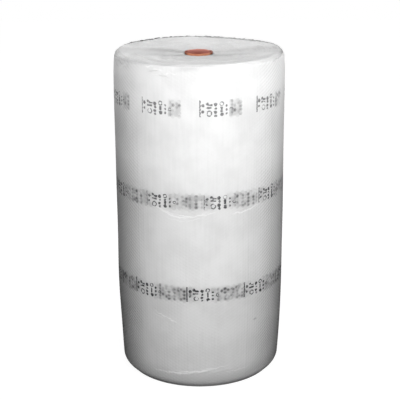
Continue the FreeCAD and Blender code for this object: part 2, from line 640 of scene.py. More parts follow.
@dataclass(frozen=True)
class PrintBand:
    """Three bands of plain grey marks round the roll, laid out in groups along the run.

    Each band, from the lowest up, has the rise of its middle, the run where a group starts, its
    strength, and how far along a group the soft set from the turn below reaches.
    A mark is (kind, x, y, first size, second size) in millimetres from the group's corner and the
    band's middle: radius and line width of a ring, radius of a disc, half width and half height
    of a bar. haze_mm are the distances from the band's middle between which its haze fades out,
    and haze_gap_mm the same along a group, first where it leaves and then where it comes back.
    """

    rises_mm: tuple = (323.0, 609.0, 884.0)
    starts_mm: tuple = (50.0, 102.0, 91.0)
    strengths: tuple = (1.0, 0.94, 0.80)
    reaches_mm: tuple = (200.0, 200.0, 34.0)
    period_mm: float = 178.0
    haze_mm: tuple = (18.0, 29.0)
    haze_gap_mm: tuple = ((104.0, 128.0), (158.0, 174.0))
    haze_left: float = 0.12
    marks: tuple = (
        (Mark.BAR, 10.0, 1.0, 1.7, 23.0),
        (Mark.DISC, 19.0, 9.5, 4.6, 0.0),
        (Mark.DISC, 18.0, -6.5, 3.5, 0.0),
        (Mark.RING, 37.0, -13.0, 6.6, 2.8),
        (Mark.BAR, 36.0, 3.5, 8.5, 2.3),
        (Mark.BAR, 40.0, 11.0, 6.0, 2.6),
        (Mark.DISC, 31.0, 15.0, 4.2, 0.0),
        (Mark.DISC, 55.0, -19.0, 3.6, 0.0),
        (Mark.DISC, 54.0, -9.5, 4.5, 0.0),
        (Mark.DISC, 55.5, 1.0, 3.4, 0.0),
        (Mark.DISC, 54.5, 11.5, 5.0, 0.0),
        (Mark.RING, 72.0, 14.0, 5.2, 2.6),
        (Mark.BAR, 72.0, -1.5, 2.9, 7.5),
        (Mark.DISC, 73.0, -15.5, 5.4, 0.0),
        (Mark.DISC, 87.0, 8.0, 3.3, 0.0),
        (Mark.DISC, 87.0, -3.0, 3.3, 0.0),
        (Mark.DISC, 87.0, -14.0, 3.3, 0.0),
        (Mark.RING, 101.0, -2.0, 4.0, 2.2),
    )

    def mark_distance(self, graph: Graph, place: bpy.types.NodeSocket, mark: tuple) -> object:
        """Distance to a mark's edge, below 0 inside it.

        A ring is the distance to its centre less its radius, without sign, less half the line; a
        disc is the distance less its radius; a bar is the larger of the two overhangs.

        Args:
            graph: Where the nodes go.
            place: Place in the group, in millimetres.
            mark: One row of marks.

        Returns:
            The socket of the distance.
        """
        kind, x, y, first, second = mark
        if kind is Mark.BAR:
            size = graph.vector("ABSOLUTE", graph.vector("SUBTRACT", place, (x, y, 0.0)))
            across, up, _ = graph.parts(graph.vector("SUBTRACT", size, (first, second, 0.0)))
            return graph.math("MAXIMUM", across, up)
        edge = graph.math("SUBTRACT", graph.vector("DISTANCE", place, (x, y, 0.0)), first)
        if kind is Mark.RING:
            edge = graph.math("SUBTRACT", graph.math("ABSOLUTE", edge), second / 2)
        return edge

    def make_group(self) -> bpy.types.NodeTree:
        """The marks as a mask.

        The rise is counted from the nearest band's middle and the run from the start of its own
        group, then the least of all distances is turned into a soft edge.

        Returns:
            A group with inputs Place in millimetres, Shift along the run and Softness. Its outputs
            are Ink from 0 to 1, Band, the strength of the haze over the height of a band, and
            Near, 1 up to the band's own reach along a group and 0 past it.
        """
        inputs = {"Place": None, "Shift": 0.0, "Softness": 0.5}
        outputs = {"Ink": "Float", "Band": "Float", "Near": "Float"}
        tree, graph, start, end = new_group("print_band", inputs, outputs)
        run, rise, _ = graph.parts(start.outputs["Place"])
        local_rise = graph.math("SUBTRACT", rise, self.rises_mm[0])
        local_run = graph.math("SUBTRACT", run, self.starts_mm[0])
        strength: object = self.strengths[0]
        length: object = self.reaches_mm[0]
        for index in range(1, len(self.rises_mm)):
            middle = (self.rises_mm[index - 1] + self.rises_mm[index]) / 2
            past = graph.math("GREATER_THAN", rise, middle)
            climb, along, change, further = (
                row[index] - row[index - 1]
                for row in (self.rises_mm, self.starts_mm, self.strengths, self.reaches_mm)
            )
            local_rise = graph.math("MULTIPLY_ADD", past, -climb, local_rise)
            local_run = graph.math("MULTIPLY_ADD", past, -along, local_run)
            strength = graph.math("MULTIPLY_ADD", past, change, strength)
            length = graph.math("MULTIPLY_ADD", past, further, length)
        shifted = graph.math("SUBTRACT", local_run, start.outputs["Shift"])
        groups = graph.math("DIVIDE", shifted, self.period_mm)
        in_group = graph.math("MULTIPLY", graph.math("FRACT", groups), self.period_mm)
        place = graph.combine(in_group, local_rise)
        edges = [self.mark_distance(graph, place, mark) for mark in self.marks]
        nearest = edges[0]
        for edge in edges[1:]:
            nearest = graph.math("MINIMUM", nearest, edge)
        inner = graph.math("MULTIPLY", start.outputs["Softness"], -1.0)
        ink = graph.ease(nearest, inner, start.outputs["Softness"], 1.0, 0.0)
        leaving = graph.ease(in_group, *self.haze_gap_mm[0], 1.0, self.haze_left)
        coming = graph.ease(in_group, *self.haze_gap_mm[1], self.haze_left, 1.0)
        hazy = graph.math("MULTIPLY", graph.math("MAXIMUM", leaving, coming), strength)
        tall = graph.ease(graph.math("ABSOLUTE", local_rise), *self.haze_mm, 1.0, 0.0)
        past_reach = graph.math("SUBTRACT", in_group, length)
        graph.put(end.inputs["Ink"], graph.math("MULTIPLY", ink, strength))
        graph.put(end.inputs["Band"], graph.math("MULTIPLY", tall, hazy))
        graph.put(end.inputs["Near"], graph.ease(past_reach, 0.0, 12.0, 1.0, 0.0))
        return tree


@dataclass(frozen=True)
class FilmFinish:
    """Milky film: pale grey, soft gloss, with the lattice, the print and fine wrinkles.

    layer_steps_mm are (rise, rise, start, end) rows that add up to how much the turns below show
    through, which grows less up the wall.
    A row of folds, painted highlights along creases, and of the darker fold lines, painted shade
    along creases and round the shoulder, is a line on the outer turn: the bearing of its middle in
    degrees, that middle's rise, the line's half length, bow, slope and half width in millimetres,
    and its strength from 0 to 1.
    """

    colour: tuple = grey(0.93)
    clear: tuple = grey(0.81)
    end_colour: tuple = grey(0.90)
    end_clear: tuple = grey(0.82)
    ink: tuple = (0.045, 0.045, 0.05, 1.0)
    # depth: painted shade, used in the furrows' low parts, over the foot and between the turns of the
    # ends.
    depth: tuple = grey(0.62)
    end_shade: tuple = grey(0.545)
    # Colour of painted shade: the shadows between the loose turns and beside the tube, and the darker
    # fold lines.
    gap_shade: tuple = grey(0.10)
    layer_tint: tuple = grey(0.62)
    # Colour of the painted highlights along the folds.
    fold_highlight_colour: tuple = grey(1.0)
    roughness: float = 0.42
    specular: float = 0.20
    layer_steps_mm: tuple = (
        (270.0, 400.0, 0.98, 0.82), (560.0, 760.0, 0.0, -0.33), (780.0, 985.0, 0.0, -0.39),
    )
    # Rises between which the painted shade over the foot fades out.
    foot_shade_mm: tuple = (12.0, 90.0)
    ghost_shift_mm: float = 93.0
    # folds: painted highlights, white lines along creases of the outer turn and a broad pale patch on the
    # left shoulder.
    folds: tuple = (
        (-17.0, 566.0, 62.0, 0.0034, -0.22, 3.0, 0.95),
        (-6.0, 566.0, 62.0, 0.0042, 0.02, 2.8, 0.85),
        (4.0, 572.0, 46.0, 0.0040, 0.16, 2.4, 0.6),
        (-13.0, 552.0, 50.0, 0.0030, -0.12, 2.2, 0.5),
        (-24.0, 580.0, 44.0, 0.0016, -0.36, 2.2, 0.8),
        (-5.0, 556.0, 40.0, 0.0050, 0.0, 2.0, 0.5),
        (30.0, 570.0, 52.0, 0.0042, 0.14, 2.8, 0.95),
        (37.0, 577.0, 44.0, 0.0030, 0.28, 2.2, 0.8),
        (-40.0, 592.0, 44.0, 0.0040, -0.20, 2.4, 0.45),
        (-24.0, 244.0, 46.0, 0.0, -0.36, 2.6, 0.9),
        (-30.0, 244.0, 30.0, 0.0, -0.34, 2.2, 0.5),
        (-14.0, 60.0, 66.0, 0.0008, 0.04, 5.0, 1.0),
        (-4.0, 68.0, 74.0, 0.0008, 0.08, 3.4, 0.95),
        (10.0, 78.0, 60.0, 0.0010, 0.08, 3.0, 0.7),
        (28.0, 62.0, 60.0, 0.0014, 0.02, 3.0, 0.4),
        (-28.0, 58.0, 40.0, 0.0010, -0.04, 3.6, 0.7),
        (-68.0, 974.0, 80.0, 0.0, 0.0, 42.0, 1.0),
        (-33.0, 1000.0, 26.0, 0.008, 0.20, 3.0, 0.9),
        (-27.0, 992.0, 22.0, -0.010, -0.15, 3.0, 0.9),
        (-22.0, 983.0, 24.0, 0.008, -0.22, 2.6, 0.8),
        (-17.0, 984.0, 18.0, 0.012, -0.20, 2.4, 0.7),
        (-29.0, 978.0, 22.0, -0.008, 0.10, 2.4, 0.6),
    )
    # Painted shade: darker lines along creases and round the shoulder, and one short darker spot low on
    # the right.
    fold_shade_lines: tuple = (
        (-79.0, 999.0, 52.0, 0.0010, 0.10, 5.0, 0.26),
        (-64.0, 992.0, 30.0, -0.0030, -0.22, 4.0, 0.20),
        (-72.0, 984.0, 34.0, 0.0, -0.36, 3.4, 0.14),
        (92.0, 993.0, 40.0, 0.0, 0.02, 4.0, 0.26),
        (66.0, 1001.0, 60.0, 0.0, 0.06, 4.0, 0.30),
        (-30.0, 987.0, 24.0, 0.006, 0.16, 3.0, 0.16),
        (-23.0, 977.0, 22.0, -0.008, -0.18, 3.0, 0.16),
        (40.5, 218.0, 8.0, 0.0, 0.10, 4.5, 0.42),
        (-7.5, 998.0, 42.0, 0.0, 0.0, 14.0, 0.14),
        (-16.0, 574.0, 50.0, 0.0034, -0.20, 3.0, 0.08),
        (33.0, 578.0, 50.0, 0.0040, 0.20, 3.0, 0.08),
    )
    lattice: BubbleLattice = field(default_factory=BubbleLattice)
    band: PrintBand = field(default_factory=PrintBand)

    def place_mm(self, graph: Graph) -> bpy.types.NodeSocket:
        """Place on the film in millimetres, from the piece's own UV map."""
        uv = graph.node("ShaderNodeUVMap", uv_map="film")
        return graph.stretched(uv.outputs[0], (1000 / UV_SCALE, 1000 / UV_SCALE, 0.0))

    def wall_material(
        self, lattice: bpy.types.NodeTree, band: bpy.types.NodeTree
    ) -> bpy.types.Material:
        """The outermost turn: film, print and bubbles, with the turns below as a tint, painted highlights
        along the folds, and painted shade along darker fold lines, in the furrows and over the foot.

        Args:
            lattice: The bubble group.
            band: The print group.

        Returns:
            The material.
        """
        material, graph, surface = new_finish("milky_film_wall", self.specular)
        surface.inputs["Coat Roughness"].default_value = 0.5
        surface.inputs["Coat IOR"].default_value = 1.02
        surface.inputs["Coat Tint"].default_value = self.layer_tint
        surface.inputs["Diffuse Roughness"].default_value = 1.0
        place = self.place_mm(graph)
        bubbles = graph.group(lattice, Place=place)
        rim, own = bubbles.outputs["Rim"], bubbles.outputs["Own"]
        furrows = self.furrows(graph, place)
        folds, fold_shade_lines = (
            self.fold_mask(graph, place, lines) for lines in (self.folds, self.fold_shade_lines)
        )
        ink = self.ink_mask(graph, place, bubbles, band)
        # Painted highlights: the film is whitened along the folds.
        film = graph.blend(folds, self.film_colour_and_shade(graph, place, rim, furrows), self.fold_highlight_colour)
        # Painted shade: the film goes towards the shade colour along the darker fold lines.
        film = graph.blend(fold_shade_lines, film, self.gap_shade)
        graph.put(surface.inputs["Base Color"], graph.blend(ink, film, self.ink))
        # The coat is weakened along the folds so that its tint darkens them less: part of their painted
        # highlight.
        fold_brightening = graph.math("MULTIPLY_ADD", folds, -0.16, 1.0)
        layers = graph.math("MULTIPLY", self.layers(graph, place), fold_brightening)
        graph.put(surface.inputs["Coat Weight"], layers)
        gloss = graph.math("MULTIPLY_ADD", own, 0.10, self.roughness - 0.05)
        graph.put(surface.inputs["Roughness"], graph.math("MULTIPLY_ADD", ink, 0.15, gloss))
        crinkle = graph.noise(graph.stretched(place, (1.0, 0.35, 1.0)), 0.30, 4.0, 0.6)
        height = graph.math("MULTIPLY_ADD", rim, -0.05, graph.math("MULTIPLY", crinkle, 0.30))
        height = graph.math("MULTIPLY_ADD", furrows, 0.40, height)
        graph.put(surface.inputs["Normal"], graph.bump(height, 0.8, 0.001))
        return material

    def layers(self, graph: Graph, place: bpy.types.NodeSocket) -> bpy.types.NodeSocket:
        """How much the turns below tint the film, up the wall.

        Args:
            graph: The wall's graph.
            place: Place on the film in millimetres.

        Returns:
            The socket of the sum of layer_steps_mm.
        """
        _, rise, _ = graph.parts(place)
        first, second, third = (graph.ease(rise, *step) for step in self.layer_steps_mm)
        return graph.math("ADD", graph.math("ADD", first, second), third)

    def ink_mask(
        self,
        graph: Graph,
        place: bpy.types.NodeSocket,
        bubbles: bpy.types.Node,
        band: bpy.types.NodeTree,
    ) -> bpy.types.NodeSocket:
        """The print: crisp marks, worn in patches, and a softer set and haze from the turn below.

        Both sets stray with a noise and with each bubble's own number. A bubble shows its part of
        the marks a little drawn together, and of the softer set much more, as a lens does.

        Args:
            graph: The wall's graph.
            place: Place on the film in millimetres.
            bubbles: The node of the bubble group.
            band: The print group.

        Returns:
            The mask's socket.
        """
        across = graph.math("MULTIPLY_ADD", graph.noise(place, 0.42, 2.0), 3.4, -1.7)
        up = graph.math("MULTIPLY_ADD", bubbles.outputs["Own"], 1.8, -0.9)
        strayed = graph.vector("ADD", place, graph.combine(across, up))
        near, deep = (
            graph.vector("SUBTRACT", strayed, graph.stretched(bubbles.outputs["Away"], drawn))
            for drawn in ((0.22, 0.22, 0.0), (0.62, 0.62, 0.0))
        )
        crisp = graph.group(band, Place=near, Shift=0.0, Softness=0.9)
        ghost = graph.group(band, Place=deep, Shift=self.ghost_shift_mm, Softness=2.4)
        wear = graph.ease(graph.noise(place, 0.13, 3.0, 0.6), 0.25, 0.52, 0.62, 1.0)
        crisp_ink = graph.math("MULTIPLY", graph.math("MULTIPLY", crisp.outputs["Ink"], wear), 0.96)
        seen = graph.math("MULTIPLY_ADD", bubbles.outputs["Dome"], 0.40, 0.34)
        cloud = graph.ease(graph.noise(place, 0.035), 0.38, 0.60, 0.08, 0.30)
        ghost_ink = graph.math("MULTIPLY", ghost.outputs["Ink"], seen)
        haze = graph.math("MULTIPLY", ghost.outputs["Band"], cloud)
        below = graph.math("MULTIPLY", graph.math("ADD", ghost_ink, haze), ghost.outputs["Near"])
        return graph.math("MAXIMUM", crisp_ink, below)

    def film_colour_and_shade(
        self,
        graph: Graph,
        place: bpy.types.NodeSocket,
        rim: bpy.types.NodeSocket,
        furrows: bpy.types.NodeSocket,
    ) -> bpy.types.NodeSocket:
        """Film between milky and clear, with painted light and shade: paler on the furrows' crests, and
        painted shade in their low parts and down at the foot.

        Args:
            graph: The wall's graph.
            place: Place on the film in millimetres.
            rim: Mask of the bubbles' welds.
            furrows: Height of the furrows.

        Returns:
            The colour's socket.
        """
        _, rise, _ = graph.parts(place)
        cloudy = graph.noise(place, 0.012, 3.0, 0.55)
        streak = graph.noise(graph.stretched(place, (1.0, 0.06, 1.0)), 0.12, 2.0)
        shade = graph.math("MULTIPLY_ADD", cloudy, 0.75, graph.math("MULTIPLY", streak, 0.25))
        clear = graph.math("MULTIPLY_ADD", rim, 0.05, graph.ease(shade, 0.38, 0.66, 0.0, 0.55))
        # Painted light: the film is paler on the furrows' crests.
        clear = graph.math("MULTIPLY_ADD", furrows, -0.60, clear, clamp=True)
        film = graph.blend(clear, self.colour, self.clear)
        # Painted shade in the furrows' low parts and over the foot.
        trough_shade = graph.math("MULTIPLY", graph.math("MINIMUM", furrows, 0.0), -0.42)
        foot = graph.ease(rise, *self.foot_shade_mm, 1.0, 0.0)
        return graph.blend(graph.math("MAXIMUM", trough_shade, foot), film, self.depth)

    def furrows(self, graph: Graph, place: bpy.types.NodeSocket) -> bpy.types.NodeSocket:
        """Slanting furrows between the bubbles, which show on the roll's sides.

        Their height is a sine of (rise over the bubbles' pitch less the run from the front over
        two columns), and it fades out towards the front and where a slow noise is low.

        Args:
            graph: The wall's graph.
            place: Place on the film in millimetres.

        Returns:
            The height's socket, from -1 to 1.
        """
        run, rise, _ = graph.parts(place)
        front = math.pi * 1000 * self.lattice.mean_radius
        away = graph.math("ABSOLUTE", graph.math("SUBTRACT", run, front))
        lead = graph.math("DIVIDE", away, -2 * self.lattice.column_mm)
        turns = graph.math("MULTIPLY_ADD", rise, 1 / self.lattice.pitch_mm, lead)
        wave = graph.math("SINE", graph.math("MULTIPLY", turns, 2 * math.pi))
        sides = graph.ease(away, 165.0, 255.0)
        patch = graph.ease(graph.noise(place, 0.011, 2.0), 0.34, 0.58, 0.5, 1.0)
        patch = graph.math("MULTIPLY", patch, graph.ease(rise, 560.0, 820.0, 1.35, 0.55))
        return graph.math("MULTIPLY", wave, graph.math("MULTIPLY", sides, patch))

    def fold_group(self) -> bpy.types.NodeTree:
        """One fold of the film as a mask: a short bowed line that fades towards its ends.

        Its rise is the middle's rise plus slope times the run from the middle plus bow times the
        square of that run.

        Returns:
            A group that takes a place and the fold's middle, half length, bow, slope and half
            width, for millimetres, and puts out Mask.
        """
        inputs = {"Place": None, "Run": 0.0, "Rise": 0.0, "Half": 50.0}
        inputs.update({"Bow": 0.0, "Slope": 0.0, "Width": 1.5})
        tree, graph, start, end = new_group("fold_line", inputs, {"Mask": "Float"})
        run, rise, _ = graph.parts(start.outputs["Place"])
        along = graph.math("SUBTRACT", run, start.outputs["Run"])
        square = graph.math("MULTIPLY", along, along)
        line = graph.math("MULTIPLY_ADD", square, start.outputs["Bow"], start.outputs["Rise"])
        line = graph.math("MULTIPLY_ADD", along, start.outputs["Slope"], line)
        off = graph.math("ABSOLUTE", graph.math("SUBTRACT", rise, line))
        stripe = graph.ease(off, 0.0, start.outputs["Width"], 1.0, 0.0)
        share = graph.math("DIVIDE", graph.math("ABSOLUTE", along), start.outputs["Half"])
        fading = graph.ease(share, 0.3, 1.0, 1.0, 0.0)
        graph.put(end.inputs["Mask"], graph.math("MULTIPLY", stripe, fading))
        return tree

    def fold_mask(
        self, graph: Graph, place: bpy.types.NodeSocket, lines: tuple
    ) -> bpy.types.NodeSocket:
        """A set of folds of the outer turn, the strongest at each place.

        Args:
            graph: The wall's graph.
            place: Place on the film in millimetres.
            lines: One row for each fold.

        Returns:
            The mask's socket.
        """
        tree = bpy.data.node_groups.get("fold_line") or self.fold_group()
        stray = graph.math("MULTIPLY_ADD", graph.noise(place, 0.06, 2.0), 14.0, -7.0)
        strayed = graph.vector("ADD", place, graph.combine(0.0, stray))
        total: object = 0.0
        for bearing, *sizes, strength in lines:
            run = (bearing + 180.0) / 360.0 * 2000 * math.pi * self.lattice.mean_radius
            values = dict(zip(("Run", "Rise", "Half", "Bow", "Slope", "Width"), (run, *sizes)))
            fold = graph.group(tree, Place=strayed, **values)
            total = graph.math("MAXIMUM", total, graph.math("MULTIPLY", fold.outputs[0], strength))
        return total

    def end_material(self, kind: Surface) -> bpy.types.Material:
        """The roll's ends: pale cut edges and bubbles, or the depth between the turns, greyer as painted
        shade.

        Args:
            kind: Which of the two.

        Returns:
            The material.
        """
        material, graph, surface = new_finish("milky_film_" + kind.value, self.specular)
        place = graph.node("ShaderNodeTexCoord").outputs["Object"]
        cloudy = graph.noise(place, 9.0, 3.0, 0.55)
        grain = graph.noise(place, 420.0, 2.0, 0.6)
        mixed = graph.math("MULTIPLY_ADD", cloudy, 0.6, graph.math("MULTIPLY", grain, 0.4))
        cut_edge = (self.end_colour, self.end_clear)
        # The depth between the turns is painted greyer as shade.
        pair = cut_edge if kind is Surface.CUT_EDGE else (self.end_clear, self.depth)
        plain = graph.blend(graph.ease(mixed, 0.36, 0.64), *pair)
        plain = graph.blend(self.dish_shade(graph, place, cloudy), plain, self.end_shade)
        # Painted light on the rim in front on the right.
        plain = graph.blend(self.front_rim_light(graph, place), plain, self.colour)
        # Painted shadows between the loose outer turns behind and beside the tube.
        gap_shadows = self.end_gap_shadows(graph, place)
        graph.put(surface.inputs["Base Color"], graph.blend(gap_shadows, plain, self.gap_shade))
        graph.put(surface.inputs["Roughness"], graph.ease(grain, 0.3, 0.7, 0.36, 0.52))
        graph.put(surface.inputs["Normal"], graph.bump(grain, 0.5, 0.0006))
        return material

    def round_axis(self, graph: Graph, place: bpy.types.NodeSocket) -> tuple:
        """A place on the roll's end as seen from the axis.

        Args:
            graph: The end's graph.
            place: The place.

        Returns:
            Sockets of its x and y, of its distance from the axis, and of y over that distance,
            which is 1 straight behind and -1 in front.
        """
        x, y, _ = graph.parts(place)
        reach = graph.vector("LENGTH", graph.combine(x, y))
        return x, y, reach, graph.math("DIVIDE", y, reach)

    def dish_shade(
        self, graph: Graph, place: bpy.types.NodeSocket, cloudy: bpy.types.NodeSocket
    ) -> bpy.types.NodeSocket:
        """Shade in the dish: a cloudy band across its middle, and round the tube in front.

        Args:
            graph: The end's graph.
            place: The place.
            cloudy: The noise that the band strays with.

        Returns:
            The mask's socket.
        """
        _, y, reach, _ = self.round_axis(graph, place)
        strayed = graph.math("MULTIPLY_ADD", cloudy, 0.10, graph.math("SUBTRACT", y, 0.042))
        middle = graph.ease(graph.math("ABSOLUTE", strayed), 0.015, 0.085, 1.0, 0.0)
        inner, in_front = graph.ease(reach, 0.05, 0.19, 0.5, 0.0), graph.ease(y, -0.02, 0.04, 1.0, 0.2)
        return graph.math("MAXIMUM", middle, graph.math("MULTIPLY", inner, in_front))

    def front_rim_light(self, graph: Graph, place: bpy.types.NodeSocket) -> bpy.types.NodeSocket:
        """Painted light: the rim made paler in front on the right, where the front right lamp falls.

        Args:
            graph: The end's graph.
            place: The place.

        Returns:
            The mask's socket.
        """
        x, _, reach, turned = self.round_axis(graph, place)
        front = graph.math("MULTIPLY", graph.ease(turned, -0.15, -0.45), graph.ease(x, 0.0, 0.08))
        return graph.math("MULTIPLY", graph.ease(reach, 0.228, 0.246), front)

    def end_gap_shadows(self, graph: Graph, place: bpy.types.NodeSocket) -> bpy.types.NodeSocket:
        """Painted shadows: ragged ones between the loose outer turns behind, and one beside the tube.

        The outer ones start nearer to the axis straight behind than at the sides, and are weaker
        on the right. The one beside the tube is left out in front.

        Args:
            graph: The end's graph.
            place: The place.

        Returns:
            The mask's socket.
        """
        x, _, reach, turned = self.round_axis(graph, place)
        start = graph.ease(turned, 0.0, 0.8, 0.2430, 0.2215)
        outermost = graph.ease(graph.math("SUBTRACT", reach, start), 0.0, 0.009)
        outermost = graph.math("MULTIPLY", outermost, graph.ease(turned, -0.30, 0.20))
        ragged = graph.ease(graph.noise(place, 105.0, 2.0, 0.6), 0.38, 0.58, 0.45, 1.0)
        leftwards = graph.ease(x, -0.04, 0.12, 1.0, 0.62)
        loose = graph.math("MULTIPLY", outermost, graph.math("MULTIPLY", ragged, leftwards))
        around_tube = graph.ease(turned, -0.75, -0.35, 0.0, 0.72)
        beside = graph.math("MULTIPLY", graph.ease(reach, 0.0425, 0.0500, 1.0, 0.0), around_tube)
        return graph.math("MAXIMUM", loose, beside)


@dataclass(frozen=True)
class BoardFinish:
    """Spiral-wound kraft board: warm brown, fibrous, with the plies' seams winding up the tube.

    One tone passes into the next between each pair of the fields below: the two radii of wall, the
    two heights where the bore's painted light fades into painted shade, the two heights of the rim's
    darkening by wear and painted shade, and the two distances to either side of the painted shade on
    the tube's left and right sides.
    """

    colour: tuple = (0.80, 0.28, 0.145, 1.0)
    pale: tuple = (0.93, 0.44, 0.26, 1.0)
    # Painted light: the bore's colour near its top, made bright.
    lit_bore_mauve: tuple = (1.0, 0.43, 0.36, 1.0)
    # Darker colour of the seams, and painted shade deeper in the bore.
    dark_seam_and_bore_shade: tuple = (0.68, 0.17, 0.10, 1.0)
    # Darker board at the rim: wear, and painted shade.
    worn: tuple = (0.40, 0.10, 0.07, 1.0)
    # Colour of the painted shade on the tube's left and right sides.
    side_shade: tuple = (0.13, 0.03, 0.025, 1.0)
    specular: float = 0.25
    wall: tuple = (0.0383, 0.0392)
    lit_bore: tuple = (0.9775, 0.9850)
    worn_and_shaded_rim: tuple = (0.9917, 0.9929)
    shaded_sides: tuple = (0.0305, 0.0385)

    def make(self) -> bpy.types.Material:
        """Fibres and blotches on the board, its seam, painted light and shade in the bore, a rim darkened
        by wear and painted shade, and painted shade on its left and right sides.

        The seam is where the fraction of (height over the ply's width plus the direction as a
        share of a turn) is a half.

        Returns:
            The material.
        """
        material, graph, surface = new_finish("spiral_wound_board", self.specular)
        place = graph.node("ShaderNodeTexCoord").outputs["Object"]
        x, y, z = graph.parts(place)
        around = graph.math("ARCTAN2", y, x)
        wound = graph.math("MULTIPLY", z, 1000 / PLY_WIDTH_MM)
        plies = graph.math("MULTIPLY_ADD", around, 1 / (2 * math.pi), wound)
        off_seam = graph.math("ABSOLUTE", graph.math("SUBTRACT", graph.math("FRACT", plies), 0.5))
        seam = graph.ease(off_seam, 0.0, 0.016, 1.0, 0.0)
        along = graph.math("MULTIPLY", plies, PLY_WIDTH_MM / 1000)
        across = graph.math("MULTIPLY", around, 0.014)
        twisted = graph.combine(along, across, graph.vector("LENGTH", place))
        fibre = graph.noise(graph.stretched(twisted, (900.0, 160.0, 500.0)), 1.0, 4.0, 0.65)
        blotch = graph.noise(place, 55.0, 3.0, 0.6)
        tone = graph.math("MULTIPLY_ADD", fibre, 0.6, graph.math("MULTIPLY", blotch, 0.4))
        light = graph.blend(graph.ease(tone, 0.36, 0.66), self.colour, self.pale)
        outside = graph.blend(graph.math("MULTIPLY", seam, 0.4), light, self.dark_seam_and_bore_shade)
        # Painted light and shade: the bore is bright near its top and darker below.
        bore = graph.blend(graph.ease(z, *self.lit_bore, 1.0, 0.0), self.lit_bore_mauve, self.dark_seam_and_bore_shade)
        radius = graph.vector("LENGTH", graph.combine(x, y))
        board = graph.blend(graph.ease(radius, *self.wall, 1.0, 0.0), outside, bore)
        # The top of the tube darkened: worn board, and painted shade along the rim.
        board = graph.blend(graph.ease(z, *self.worn_and_shaded_rim, 0.0, 0.22), board, self.worn)
        # Painted shade: the tube darkened on its left and right, where the film shades it.
        side_shade_mask = graph.ease(graph.math("ABSOLUTE", x), *self.shaded_sides, 0.0, 0.72)
        graph.put(surface.inputs["Base Color"], graph.blend(side_shade_mask, board, self.side_shade))
        graph.put(surface.inputs["Roughness"], graph.ease(fibre, 0.3, 0.7, 0.72, 0.9))
        height = graph.math("MULTIPLY_ADD", seam, -0.8, fibre)
        graph.put(surface.inputs["Normal"], graph.bump(height, 0.7, 0.0004))
        return material


@dataclass(frozen=True)
class Crease:
    """A raised fold on the wall, along a short curve of bearings and rises.

    bearings and rises are the curve's points in degrees and millimetres, width_mm is its half
    width, and height_mm how far it stands out, below 0 for a furrow.
    """

    bearings: tuple
    rises: tuple
    width_mm: float
    height_mm: float


